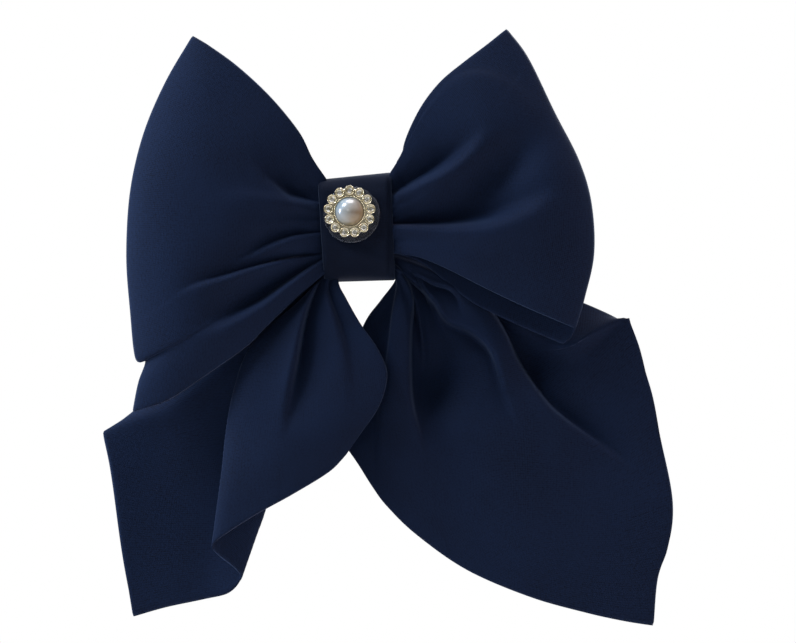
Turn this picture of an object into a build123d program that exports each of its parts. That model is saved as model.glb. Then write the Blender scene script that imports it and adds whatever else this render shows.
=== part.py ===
from build123d import *
import os
from math import asin, degrees, sqrt

# A large pinned hair bow: two puffed loops and two long tails of doubled crepe, gathered with thread,
# wrapped by a knot band with a pearl and rhinestone button, and carried on a French barrette.
# X runs to the right as the bow is seen from the front, +Z is up, the front faces -Y.
# The origin is the middle of the barrette's hair gap, behind the knot.

os.makedirs("parts", exist_ok=True)

# --- barrette ---------------------------------------------------------------------------------------
PLATE_LENGTH = 80.0
PLATE_WIDTH = 10.0
PLATE_THICKNESS = 0.8
PLATE_ARCH = 3.0            # how far the middle stands ahead of the ends
HAIR_GAP = 5.2              # tension spring to arm, at the middle
SPRING_WIDTH = 5.5
SPRING_THICKNESS = 0.4
SPRING_HALF_LENGTH = 33.0
SPRING_ARCH = 1.9
ARM_WIDTH = 5.0
ARM_THICKNESS = 0.9
ARM_ARCH = 2.2
ARM_TIP_WIDTH = 9.0
PIN_X = -38.5
PIN_RADIUS = 0.8
PIN_CLEARANCE = 0.05
BARREL_RADIUS = 1.7
EAR_THICKNESS = 0.8
CATCH_X = 36.5
PRONG_WIDTH = 4.6
PRONG_HEIGHT = 13.0
PRONG_THICKNESS = 0.5
PRONG_OFFSET = 1.5          # inner face of a prong to the middle plane
WINDOW_LENGTH = 7.0
RIVET_RADIUS = 1.2

# --- knot -------------------------------------------------------------------------------------------
BAND_WIDTH = 24.5
BAND_HEIGHT = 36.6
BAND_FRONT = -24.0
BAND_BACK = -5.0
BAND_THICKNESS = 1.5
BAND_CORNER = 6.5
THREAD_WIDTH = 4.0
THREAD_THICKNESS = 0.5
NECK_HALF_HEIGHT = 15.9
LOOP_NECK = (-21.6, -15.4)  # front and back of the loops' cloth inside the knot
TAIL_NECK = (-15.2, -8.9)   # front and back of the tails' cloth inside the knot
STITCH_COUNT = 6
STITCH_LENGTH = 3.0
STITCH_RADIUS = 0.25

# --- button -----------------------------------------------------------------------------------------
BUTTON_X = -1.7
BUTTON_Z = 4.9
GLUE_RADIUS = 9.6
GLUE_THICKNESS = 0.8
GLUE_SHIFT = (0.6, -0.8)    # the glue has run out to the lower right
BASE_RADIUS = 7.8
BASE_THICKNESS = 0.8
STONE_COUNT = 13
STONE_RING = 7.2
CUP_RADIUS = 1.7
CUP_BORE = 1.42
CUP_HEIGHT = 1.5
CUP_FLOOR = 0.3
STONE_RADIUS = 1.38
PEARL_RADIUS = 4.85
PEARL_HEIGHT = 4.6
BEZEL_WALL = 0.5
BEZEL_HEIGHT = 1.0

# --- cloth ------------------------------------------------------------------------------------------
TAIL_BACK = (-12.6, -6.0)   # front and back of the panels that hang behind
TAIL_FRONT = -21.0          # front of the lobes that fold forwards

# Sections of a loop, from the knot outwards: distance from the middle, bottom, top, front, back.
LEFT_LOOP = [
    (12.6, -NECK_HALF_HEIGHT, NECK_HALF_HEIGHT, *LOOP_NECK),
    (19.0, -22.5, 32.0, -30.0, -13.2),
    (28.0, -32.5, 43.5, -34.0, -12.8),
    (39.0, -42.0, 53.5, -37.0, -12.8),
    (50.0, -49.5, 62.0, -37.0, -13.0),
    (55.0, -52.0, 64.7, -36.0, -13.2),
    (63.0, -57.0, 50.5, -34.0, -14.0),
    (70.0, -60.0, 35.0, -31.0, -15.5),
    (75.0, -62.0, 16.0, -28.0, -18.0),
    (77.2, -28.0, 4.0, -25.0, -21.0),
]
RIGHT_LOOP = [
    (12.6, -NECK_HALF_HEIGHT, NECK_HALF_HEIGHT, *LOOP_NECK),
    (17.0, -16.0, 28.0, -28.0, -13.5),
    (24.0, -17.0, 42.0, -33.0, -12.8),
    (31.0, -19.0, 50.0, -36.0, -12.8),
    (44.0, -24.5, 61.0, -38.0, -13.0),
    (51.3, -29.0, 66.8, -37.0, -13.2),
    (59.0, -33.5, 54.5, -35.0, -13.8),
    (70.0, -38.5, 34.0, -31.0, -15.5),
    (77.0, -35.0, 18.0, -28.0, -18.0),
    (80.6, -20.0, 2.0, -25.0, -21.0),
]

PLATE_Y = -7.2              # back face of the plate, at its middle
SPRING_Y = -HAIR_GAP / 2    # back face of the spring, at its middle
ARM_Y = HAIR_GAP / 2        # front face of the arm, at its middle
PIN_Y = ARM_Y + ARM_THICKNESS / 2 + ARM_ARCH


def save(shape, node):
    """Write one node's STEP file."""
    shape.label = node
    export_step(shape, f"parts/{node}.step")


def arch_radius(arch, half_length=PLATE_LENGTH / 2):
    """Radius of an arc that rises by arch over half_length."""
    return (half_length**2 + arch**2) / (2 * arch)


def arc_y(x, y_middle, radius):
    """Height at x of an arc whose ends lie nearer the head than its middle."""
    return y_middle + radius - sqrt(radius**2 - x**2)


def arched_strip(x_low, x_high, y_middle, radius, thickness, width):
    """A flat strip bent to an arc; y_middle is the face of smaller Y, at x = 0."""
    middle = (x_low + x_high) / 2
    near = [Vector(x, arc_y(x, y_middle, radius)) for x in (x_low, middle, x_high)]
    inner = radius - thickness
    far = [Vector(x, arc_y(x, y_middle + thickness, inner)) for x in (x_high, middle, x_low)]
    outline = [
        ThreePointArc(*near),
        Line(near[2], far[0]),
        ThreePointArc(*far),
        Line(far[2], near[0]),
    ]
    return extrude(make_face(Wire(outline)), width / 2, both=True)


def upright_slab(x_low, x_high, width, corner, y_low=-20, y_high=20):
    """A block with rounded corners as seen from the front, to trim strips with."""
    size = RectangleRounded(x_high - x_low, width, corner)
    face = Plane((0, y_high, 0), x_dir=(1, 0, 0), z_dir=(0, -1, 0)) * Pos((x_low + x_high) / 2, 0) * size
    return extrude(face, y_high - y_low)


def cylinder_y(x, z, y_front, y_back, radius):
    """A round bar along Y between two heights."""
    face = Plane((x, y_back, z), x_dir=(1, 0, 0), z_dir=(0, -1, 0)) * Circle(radius)
    return extrude(face, y_back - y_front)


# --- barrette ---------------------------------------------------------------------------------------

plate_radius = arch_radius(PLATE_ARCH)
arm_radius = arch_radius(ARM_ARCH)
spring_radius = arch_radius(SPRING_ARCH)
plate_front = PLATE_Y - PLATE_THICKNESS
catch_y = arc_y(CATCH_X, PLATE_Y, plate_radius)
catch_tilt = degrees(asin(CATCH_X / plate_radius))
# A frame that stands on the plate's back face under the catch: its Y is the plate's normal.
catch_place = Pos(CATCH_X, catch_y, 0) * Rot(0, 0, catch_tilt)


def make_plate():
    """Arched plate with two hinge ears and two bridges that hold the tension spring's ends."""
    half = PLATE_LENGTH / 2
    body = arched_strip(-half - 1, half + 1, plate_front, plate_radius, PLATE_THICKNESS, PLATE_WIDTH)
    body &= upright_slab(-half - 0.9, half + 0.9, PLATE_WIDTH, 3.5)
    ear_z = PLATE_WIDTH / 2 - EAR_THICKNESS
    foot_y = arc_y(PIN_X, plate_front, plate_radius) + 0.2
    tip = BARREL_RADIUS + 0.3
    for side in (-1, 1):
        wall = Pos(PIN_X, (foot_y + PIN_Y) / 2) * Rectangle(2 * tip, PIN_Y - foot_y)
        wall += Pos(PIN_X, PIN_Y) * Circle(tip)
        wall -= Pos(PIN_X, PIN_Y) * Circle(PIN_RADIUS)
        ear = extrude(wall, EAR_THICKNESS)
        body += Pos(0, 0, ear_z if side > 0 else -ear_z - EAR_THICKNESS) * ear
    for bridge_x in (-SPRING_HALF_LENGTH + 1.5, SPRING_HALF_LENGTH - 4.0):
        top = arc_y(bridge_x, SPRING_Y, spring_radius) + 0.15
        low = arc_y(bridge_x, plate_front, plate_radius) + 0.3
        outer = Pos(bridge_x, (top + 0.6 + low) / 2, 0) * Box(2.0, top + 0.6 - low, PLATE_WIDTH - 2.0)
        hollow = Pos(bridge_x, (top + low) / 2, 0) * Box(3.0, top - low, SPRING_WIDTH + 0.4)
        body += outer - hollow
    body -= catch_place * Rot(90, 0, 0) * Cylinder(RIVET_RADIUS, 8)
    return body


def make_spring():
    """Flat bowed spring that presses the hair against the arm."""
    length = SPRING_HALF_LENGTH
    strip = arched_strip(
        -length - 1, length + 1, SPRING_Y - SPRING_THICKNESS, spring_radius, SPRING_THICKNESS, SPRING_WIDTH
    )
    return strip & upright_slab(-length, length - 2.5, SPRING_WIDTH, 2.0)


def make_pin():
    """Hinge pin with two peened heads."""
    half = PLATE_WIDTH / 2
    pin = Cylinder(PIN_RADIUS, 2 * half + 0.6)
    for side in (-1, 1):
        pin += Pos(0, 0, side * (half + 0.35)) * Cylinder(PIN_RADIUS + 0.35, 0.5)
    return Pos(PIN_X, PIN_Y, 0) * pin


def make_arm():
    """Arm with a rolled barrel round the pin and a windowed tip that drops over the prongs."""
    tip_x = CATCH_X + WINDOW_LENGTH / 2 + 1.4
    strip = arched_strip(PIN_X - 0.4, tip_x + 1, ARM_Y, arm_radius, ARM_THICKNESS, ARM_TIP_WIDTH)
    rail = upright_slab(PIN_X - 1, tip_x - 2, ARM_WIDTH, 0.4)
    head = upright_slab(CATCH_X - WINDOW_LENGTH / 2 - 2.6, tip_x, ARM_TIP_WIDTH, 2.6)
    strip &= rail + head
    barrel = Pos(PIN_X, PIN_Y, 0) * Cylinder(BARREL_RADIUS, ARM_WIDTH + 1.6)
    bore = Pos(PIN_X, PIN_Y, 0) * Cylinder(PIN_RADIUS + PIN_CLEARANCE, ARM_WIDTH + 4)
    window_x = CATCH_X - 1.2
    window_half = PRONG_OFFSET + PRONG_THICKNESS + 0.3
    window = upright_slab(
        window_x - WINDOW_LENGTH / 2, window_x + WINDOW_LENGTH / 2, 2 * window_half, 1.2
    )
    return strip + barrel - bore - window


def make_catch_base():
    """Small steel saddle riveted to the plate, with a low wall behind each prong's root."""
    pad = Pos(0, 0.33, 0) * Box(6.4, 0.6, 7.6)
    for side in (-1, 1):
        pad += Pos(0, 0.8, side * (PRONG_OFFSET + PRONG_THICKNESS + 0.45)) * Box(PRONG_WIDTH, 1.0, 0.5)
    pad -= Rot(90, 0, 0) * Cylinder(RIVET_RADIUS, 6)
    return catch_place * pad


def make_rivet():
    """Tubular rivet through the plate and the catch saddle, headed on both sides."""
    shank = Pos(0, -0.1, 0) * Rot(90, 0, 0) * Cylinder(RIVET_RADIUS, PLATE_THICKNESS + 1.0)
    front = Pos(0, -PLATE_THICKNESS - 0.3, 0) * Rot(90, 0, 0) * Cylinder(RIVET_RADIUS + 0.5, 0.6)
    back = Pos(0, 0.84, 0) * Rot(90, 0, 0) * Cylinder(RIVET_RADIUS + 0.25, 0.4)
    return catch_place * (shank + front + back)


def make_prong(side):
    """Springy ear with a rounded top; the pair is pinched to free the arm."""
    base = 0.7
    straight = PRONG_HEIGHT - base - PRONG_WIDTH / 2
    outline = Pos(0, base + straight / 2) * Rectangle(PRONG_WIDTH, straight)
    outline += Pos(0, base + straight) * Circle(PRONG_WIDTH / 2)
    ear = extrude(outline, PRONG_THICKNESS)
    low_z = PRONG_OFFSET if side > 0 else -PRONG_OFFSET - PRONG_THICKNESS
    return catch_place * Pos(0, 0, low_z) * ear


# --- knot -------------------------------------------------------------------------------------------

def ring_around_waist(front, back, height, wall, corner, width):
    """A closed band round the gathered cloth, as long as width along X."""
    depth = back - front
    outline = RectangleRounded(depth, height, corner)
    outline -= RectangleRounded(depth - 2 * wall, height - 2 * wall, corner - wall)
    return extrude(Plane.YZ * Pos((front + back) / 2, 0) * outline, width / 2, both=True)


def make_band():
    return ring_around_waist(BAND_FRONT, BAND_BACK, BAND_HEIGHT, BAND_THICKNESS, BAND_CORNER, BAND_WIDTH)


def make_thread():
    """Gathering thread, wound side by side round the waist of the bow."""
    front = LOOP_NECK[0] - 0.1 - THREAD_THICKNESS
    back = TAIL_NECK[1] + 0.1 + THREAD_THICKNESS
    height = 2 * (NECK_HALF_HEIGHT + 0.1 + THREAD_THICKNESS)
    return ring_around_waist(front, back, height, THREAD_THICKNESS, 4.0, THREAD_WIDTH)


def make_stitches():
    """Slanted hand stitches that close the band behind, under the plate."""
    spacing = (BAND_WIDTH - 5.0) / (STITCH_COUNT - 1)
    stitches = []
    for index in range(STITCH_COUNT):
        x = -BAND_WIDTH / 2 + 2.5 + index * spacing
        bar = Rot(0, 30, 0) * Cylinder(STITCH_RADIUS, STITCH_LENGTH)
        stitches.append(Pos(x, BAND_BACK + STITCH_RADIUS + 0.02, -9.5) * bar)
    return Compound(children=stitches)


# --- button -----------------------------------------------------------------------------------------

glue_front = BAND_FRONT - GLUE_THICKNESS
base_front = glue_front - BASE_THICKNESS
button_place = Plane((BUTTON_X, base_front, BUTTON_Z), x_dir=(1, 0, 0), z_dir=(0, -1, 0))


def make_glue_pad():
    x = BUTTON_X + GLUE_SHIFT[0]
    z = BUTTON_Z + GLUE_SHIFT[1]
    disc = cylinder_y(x, z, glue_front, BAND_FRONT, GLUE_RADIUS)
    return fillet(disc.edges().group_by(Axis.Y)[0], 0.35)


def make_button_base():
    disc = cylinder_y(BUTTON_X, BUTTON_Z, base_front, glue_front, BASE_RADIUS)
    return chamfer(disc.edges().group_by(Axis.Y)[0], 0.2)


def around_ring(piece):
    """Copies of a piece at every stone's place, standing on the button base."""
    copies = []
    for index in range(STONE_COUNT):
        turn = Rot(0, 0, 360 / STONE_COUNT * index)
        copies.append(button_place * turn * Pos(STONE_RING, 0, 0) * piece)
    return Compound(children=copies)


def make_cups():
    cup = Pos(0, 0, CUP_HEIGHT / 2) * Cylinder(CUP_RADIUS, CUP_HEIGHT)
    cup -= Pos(0, 0, CUP_FLOOR + CUP_HEIGHT / 2) * Cylinder(CUP_BORE, CUP_HEIGHT)
    return around_ring(cup)


def make_stones():
    """Round brilliant shapes: a pointed pavilion, a girdle and a flat-topped crown."""
    profile = Polyline(
        (0, CUP_FLOOR + 0.02),
        (STONE_RADIUS, 1.1),
        (STONE_RADIUS, 1.35),
        (0.75 * STONE_RADIUS, 1.85),
        (0, 1.85),
        close=True,
    )
    stone = revolve(Plane.XZ * make_face(profile), Axis.Z)
    return around_ring(stone)


def make_pearl():
    """Half-pearl: a flat-backed dome."""
    drop = PEARL_RADIUS - PEARL_HEIGHT
    dome = Pos(0, 0, -drop) * Sphere(PEARL_RADIUS)
    keep = Pos(0, 0, PEARL_RADIUS) * Box(4 * PEARL_RADIUS, 4 * PEARL_RADIUS, 2 * PEARL_RADIUS)
    return button_place * (dome & keep)


def make_bezel():
    inner = PEARL_RADIUS + 0.02
    wall = Cylinder(inner + BEZEL_WALL, BEZEL_HEIGHT) - Cylinder(inner, 2 * BEZEL_HEIGHT)
    return button_place * Pos(0, 0, BEZEL_HEIGHT / 2) * wall


# --- cloth ------------------------------------------------------------------------------------------

def make_loop(sections, side):
    """A puffed loop: oval sections from the knot to the outer fold, with a neck inside the knot."""
    faces = []
    for x, bottom, top, front, back in sections:
        oval = Ellipse((back - front) / 2, (top - bottom) / 2)
        place = Plane.YZ.offset(side * x) * Pos((front + back) / 2, (top + bottom) / 2)
        faces.append(place * oval)
    body = loft(faces, ruled=True)
    neck_oval = Ellipse((LOOP_NECK[1] - LOOP_NECK[0]) / 2, NECK_HALF_HEIGHT)
    neck_face = Plane.YZ.offset(side * 0.1) * Pos(sum(LOOP_NECK) / 2, 0) * neck_oval
    neck = extrude(neck_face, side * (sections[0][0] - 0.1))
    return body + neck


def panel(curves, front, back):
    """A flat cloth panel from its outline as seen from the front; curves are lists of (x, z) points."""
    edges = []
    for points in curves:
        ends = [Vector(x, 0, z) for x, z in points]
        edges.append(Line(*ends) if len(ends) == 2 else Spline(*ends))
    face = make_face(Wire(edges))
    solid = extrude(face, back - front, dir=(0, 1, 0))
    return Pos(0, front, 0) * solid


def tail_neck(side):
    """The gathered end of a tail inside the knot."""
    neck_oval = Ellipse((TAIL_NECK[1] - TAIL_NECK[0]) / 2, NECK_HALF_HEIGHT)
    face = Plane.YZ.offset(side * 0.1) * Pos(sum(TAIL_NECK) / 2, 0) * neck_oval
    return extrude(face, side * (BAND_WIDTH / 2 + 0.45))


def make_left_tail():
    """The tail folded like a Z: a wide panel behind, and a lobe that comes forwards over it."""
    behind = panel(
        [
            [(-12.7, -7), (-12.7, -24)],
            [(-12.7, -24), (-14, -70), (-26, -95)],
            [(-26, -95), (-39.3, -120.4)],
            [(-39.3, -120.4), (-42.7, -124.8), (-58, -129.5), (-75.3, -132.6)],
            [(-75.3, -132.6), (-78.7, -120.4), (-82.3, -86.4), (-85.2, -70.5)],
            [(-85.2, -70.5), (-75.3, -61.5)],
            [(-75.3, -61.5), (-50, -26)],
            [(-50, -26), (-12.7, -7)],
        ],
        *TAIL_BACK,
    )
    lobe = panel(
        [
            [(-6, -19.2), (3.2, -32.6), (10.9, -49.5), (1, -71), (-19.4, -89.8), (-48, -107)],
            [(-48, -107), (-44.5, -80), (-38.5, -48)],
            [(-38.5, -48), (-22, -30), (-12.6, -19.2)],
            [(-12.6, -19.2), (-6, -19.2)],
        ],
        TAIL_FRONT,
        TAIL_BACK[0],
    )
    return behind + lobe + tail_neck(-1)


def make_right_tail():
    """The tail that fans out to the right: a panel behind, and a full lobe in front of it."""
    behind = panel(
        [
            [(12.7, -7), (12.7, -18.9)],
            [(12.7, -18.9), (3.4, -32.6)],
            [(3.4, -32.6), (-4, -52), (-1.4, -75.8)],
            [(-1.4, -75.8), (11.4, -95.2), (44.2, -119.7), (101.2, -135.3)],
            [(101.2, -135.3), (104.4, -112.5), (107.5, -95), (101.2, -59), (93.2, -33.3)],
            [(93.2, -33.3), (77.5, -25.2)],
            [(77.5, -25.2), (40, -12)],
            [(40, -12), (12.7, -7)],
        ],
        *TAIL_BACK,
    )
    lobe = panel(
        [
            [(13, -19.2), (12.2, -50), (7.5, -67.5)],
            [(7.5, -67.5), (11.4, -94), (44.2, -118.5), (100, -134)],
            [(100, -134), (103, -112.5), (98, -86)],
            [(98, -86), (71.2, -65.3), (51, -38.5)],
            [(51, -38.5), (36, -25), (20, -19.2)],
            [(20, -19.2), (13, -19.2)],
        ],
        TAIL_FRONT,
        TAIL_BACK[0],
    )
    return behind + lobe + tail_neck(1)


save(make_plate(), "barrette_plate")
save(make_spring(), "tension_spring")
save(make_pin(), "hinge_pin")
save(make_arm(), "clip_arm")
save(make_catch_base(), "catch_saddle")
save(make_rivet(), "catch_rivet")
save(make_prong(1), "catch_prong_upper")
save(make_prong(-1), "catch_prong_lower")
save(make_band(), "knot_band")
save(make_thread(), "gathering_thread")
save(make_stitches(), "band_stitches")
save(make_glue_pad(), "glue_pad")
save(make_button_base(), "button_base")
save(make_cups(), "stone_cups")
save(make_stones(), "rhinestones")
save(make_pearl(), "half_pearl")
save(make_bezel(), "pearl_bezel")
save(make_loop(LEFT_LOOP, -1), "left_loop")
save(make_loop(RIGHT_LOOP, 1), "right_loop")
save(make_left_tail(), "left_tail")
save(make_right_tail(), "right_tail")
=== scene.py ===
from math import atan2, cos, pi, radians, sin

import bpy
import numpy as np
from mathutils import Matrix, Vector, noise


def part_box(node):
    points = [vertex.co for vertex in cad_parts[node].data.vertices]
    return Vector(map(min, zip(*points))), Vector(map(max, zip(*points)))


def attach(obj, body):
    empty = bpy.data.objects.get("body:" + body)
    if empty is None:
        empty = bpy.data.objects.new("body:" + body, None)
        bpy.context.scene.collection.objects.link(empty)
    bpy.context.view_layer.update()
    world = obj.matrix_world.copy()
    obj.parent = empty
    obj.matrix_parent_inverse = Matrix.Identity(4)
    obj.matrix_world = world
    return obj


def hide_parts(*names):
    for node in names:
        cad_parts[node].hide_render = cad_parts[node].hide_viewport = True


# A navy crepe hair bow on a barrette. It faces -Y, its tails hang along -Z and its clip is behind it.

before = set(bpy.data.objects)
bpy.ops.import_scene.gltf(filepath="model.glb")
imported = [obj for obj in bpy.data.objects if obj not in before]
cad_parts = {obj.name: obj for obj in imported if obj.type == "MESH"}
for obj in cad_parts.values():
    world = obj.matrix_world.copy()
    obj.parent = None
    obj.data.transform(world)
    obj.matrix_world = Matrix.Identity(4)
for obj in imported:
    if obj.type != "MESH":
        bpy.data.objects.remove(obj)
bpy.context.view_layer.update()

MM = 0.001


# --- scene ------------------------------------------------------------------------------------------

def linear(hex_colour, alpha=1.0):
    """A hex sRGB colour as linear RGBA."""
    parts = [int(hex_colour[i:i + 2], 16) / 255 for i in (1, 3, 5)]
    return tuple(c / 12.92 if c <= 0.04045 else ((c + 0.055) / 1.055) ** 2.4 for c in parts) + (alpha,)


VIEW_WIDTH = 270.6 * MM       # width of the view in the plane of the cloth
VIEW_CENTRE = (14.6 * MM, -18 * MM, -32.1 * MM)
CAMERA_DISTANCE = 850 * MM
SENSOR = 36.0
FLOOR_DEPTH = 450 * MM        # below the barrette
FLOOR_RADIUS = 2.2            # metres, as are the lights' places and sizes
ROOM_LIGHT = 0.05             # how much the white room adds to matt surfaces


def make_camera():
    """A long lens straight in front of the bow."""
    camera = bpy.data.cameras.new("camera")
    camera.sensor_width = SENSOR
    camera.lens = SENSOR * CAMERA_DISTANCE / VIEW_WIDTH
    obj = bpy.data.objects.new("camera", camera)
    obj.location = (VIEW_CENTRE[0], VIEW_CENTRE[1] - CAMERA_DISTANCE, VIEW_CENTRE[2])
    obj.rotation_euler = (pi / 2, 0, 0)
    bpy.context.scene.collection.objects.link(obj)
    bpy.context.scene.camera = obj


def make_light(name, place, target, size, power, colour="#ffffff", mirrored=True):
    """A round soft light; one that is not mirrored leaves no spot on gloss and metal."""
    light = bpy.data.lights.new(name, "AREA")
    light.shape = "DISK"
    light.size = size
    light.energy = power
    light.color = linear(colour)[:3]
    obj = bpy.data.objects.new(name, light)
    obj.location = place
    obj.rotation_euler = (Vector(target) - Vector(place)).to_track_quat("-Z", "Y").to_euler()
    obj.visible_camera = False
    obj.visible_glossy = mirrored
    bpy.context.scene.collection.objects.link(obj)


def make_sky(strength, colour):
    """Even, very soft light from straight above, which keeps the whole floor pale."""
    light = bpy.data.lights.new("sky", "SUN")
    light.energy = strength
    light.angle = radians(40)
    light.color = linear(colour)[:3]
    obj = bpy.data.objects.new("sky", light)
    obj.location = (0, 0, 2)
    bpy.context.scene.collection.objects.link(obj)


def add(tree, kind, inputs=None, **settings):
    """Add a shader node, with its settings, and each input's value or the output it is linked to."""
    made = tree.nodes.new(kind)
    for key, value in settings.items():
        setattr(made, key, value)
    for key, value in (inputs or {}).items():
        if isinstance(value, bpy.types.NodeSocket):
            tree.links.new(value, made.inputs[key])
        else:
            made.inputs[key].default_value = value
    return made


def new_material(name):
    """An empty node material and its tree."""
    material = bpy.data.materials.new(name)
    material.use_nodes = True
    material.node_tree.nodes.clear()
    return material, material.node_tree


def finish_material(tree, shader):
    """Make a shader the material's surface."""
    add(tree, "ShaderNodeOutputMaterial", {"Surface": shader.outputs[0]})


def make_floor():
    """A pale round floor, well below the bow."""
    bpy.ops.mesh.primitive_circle_add(vertices=96, radius=FLOOR_RADIUS, fill_type="NGON",
                                      location=(0, 0, -FLOOR_DEPTH))
    floor = bpy.context.object
    floor.name = "floor"
    material, tree = new_material("pale_floor")
    shader = add(tree, "ShaderNodeBsdfPrincipled", {"Base Color": linear("#f4f4f4"), "Roughness": 0.9})
    finish_material(tree, shader)
    floor.data.materials.append(material)


def make_world():
    """A white studio. Cloth gets only a little of its light, and the metal, glass and pearl reflect a
    room that is bright above and dim at the front and below."""
    world = bpy.data.worlds.new("studio")
    world.use_nodes = True
    world.node_tree.nodes.clear()
    tree = world.node_tree
    paper = add(tree, "ShaderNodeBackground", {"Color": (1, 1, 1, 1), "Strength": 1.0})
    room = add(tree, "ShaderNodeBackground", {"Color": linear("#eef1f8"), "Strength": ROOM_LIGHT})
    direction = add(tree, "ShaderNodeTexCoord").outputs["Generated"]
    height = add(tree, "ShaderNodeSeparateXYZ", {"Vector": direction}).outputs["Z"]
    walls = add(tree, "ShaderNodeValToRGB", {"Fac": height})
    walls.color_ramp.elements[0].position = 0.0
    walls.color_ramp.elements[0].color = linear("#5d5b58")
    walls.color_ramp.elements[1].position = 0.45
    walls.color_ramp.elements[1].color = linear("#f4f6fa")
    gloss = add(tree, "ShaderNodeBackground", {"Color": walls.outputs["Color"], "Strength": 0.9})
    ray = add(tree, "ShaderNodeLightPath")
    mixed = add(tree, "ShaderNodeMixShader", {0: ray.outputs["Is Diffuse Ray"], 1: gloss.outputs[0],
                                              2: room.outputs[0]})
    mixed = add(tree, "ShaderNodeMixShader", {0: ray.outputs["Is Camera Ray"], 1: mixed.outputs[0],
                                              2: paper.outputs[0]})
    add(tree, "ShaderNodeOutputWorld", {"Surface": mixed.outputs[0]})
    bpy.context.scene.world = world
    bpy.context.scene.view_settings.view_transform = "Standard"


# --- materials --------------------------------------------------------------------------------------

PAINTED_REFLECTION_TILT = radians(40)      # the painted cool reflection on the pearl is turned this far up from its left


def bands(spacing):
    """The scale at which a wave texture's bands are spacing mm apart."""
    return pi / (10 * spacing * MM)


def slanting_bands(spacing):
    """The same for a wave texture's diagonal bands."""
    return bands(spacing) * 2 / 3**0.5


def grains(size):
    """The scale at which a noise texture's grains are size mm across."""
    return 1 / (size * MM)


def make_crepe(name, dark, light):
    """Polyester crepe: a fine pebbled weave, matt, with a faint sheen where it turns away."""
    material, tree = new_material(name)
    uv = add(tree, "ShaderNodeUVMap", uv_map="cloth").outputs["UV"]
    # the real threads are 0.2 mm apart; drawn at about 0.45 and 0.56 mm so that they show
    warp = add(tree, "ShaderNodeTexWave", {"Vector": uv, "Scale": bands(0.4488), "Distortion": 1.5,
                                           "Detail": 1.0}, bands_direction="X")
    weft = add(tree, "ShaderNodeTexWave", {"Vector": uv, "Scale": bands(0.561), "Distortion": 1.5,
                                           "Detail": 1.0}, bands_direction="Y")
    pebble = add(tree, "ShaderNodeTexNoise", {"Vector": uv, "Scale": grains(0.7143), "Detail": 3.0})
    cloud = add(tree, "ShaderNodeTexNoise", {"Vector": uv, "Scale": grains(25), "Detail": 4.0,
                                             "Roughness": 0.6})
    weave = add(tree, "ShaderNodeMath", {0: warp.outputs["Fac"], 1: weft.outputs["Fac"]},
                operation="MULTIPLY")
    height = add(tree, "ShaderNodeMath", {0: weave.outputs[0], 1: pebble.outputs["Fac"]}, operation="ADD")
    tone = add(tree, "ShaderNodeMath", {0: cloud.outputs["Fac"], 1: 0.6, 2: height.outputs[0]},
               operation="MULTIPLY_ADD")
    ramp = add(tree, "ShaderNodeValToRGB", {"Fac": tone.outputs[0]})
    ramp.color_ramp.elements[0].position = 0.55
    ramp.color_ramp.elements[0].color = linear(dark)
    ramp.color_ramp.elements[1].position = 1.25
    ramp.color_ramp.elements[1].color = linear(light)
    bump = add(tree, "ShaderNodeBump", {"Height": height.outputs[0], "Strength": 0.35,
                                        "Distance": 0.08 * MM})
    shader = add(tree, "ShaderNodeBsdfPrincipled", {
        "Base Color": ramp.outputs["Color"], "Roughness": 0.75, "Specular IOR Level": 0.08,
        "Sheen Weight": 0.16, "Sheen Roughness": 0.35, "Sheen Tint": linear("#94aed6"),
        "Normal": bump.outputs["Normal"],
    })
    finish_material(tree, shader)
    return material


def make_thread():
    """Spun polyester sewing thread: matt, with its twist showing as slanting ribs."""
    material, tree = new_material("navy_sewing_thread")
    place = add(tree, "ShaderNodeTexCoord").outputs["Object"]
    # the real twist is 0.25 mm apart; drawn at about 0.6 mm so that it shows
    twist = add(tree, "ShaderNodeTexWave", {"Vector": place, "Scale": slanting_bands(0.5851),
                                            "Distortion": 0.6}, bands_direction="DIAGONAL")
    ramp = add(tree, "ShaderNodeValToRGB", {"Fac": twist.outputs["Fac"]})
    ramp.color_ramp.elements[0].color = linear("#0b1020")
    ramp.color_ramp.elements[1].color = linear("#263354")
    bump = add(tree, "ShaderNodeBump", {"Height": twist.outputs["Fac"], "Strength": 0.5,
                                        "Distance": 0.1 * MM})
    shader = add(tree, "ShaderNodeBsdfPrincipled", {
        "Base Color": ramp.outputs["Color"], "Roughness": 0.6, "Specular IOR Level": 0.25,
        "Normal": bump.outputs["Normal"],
    })
    finish_material(tree, shader)
    return material


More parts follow.
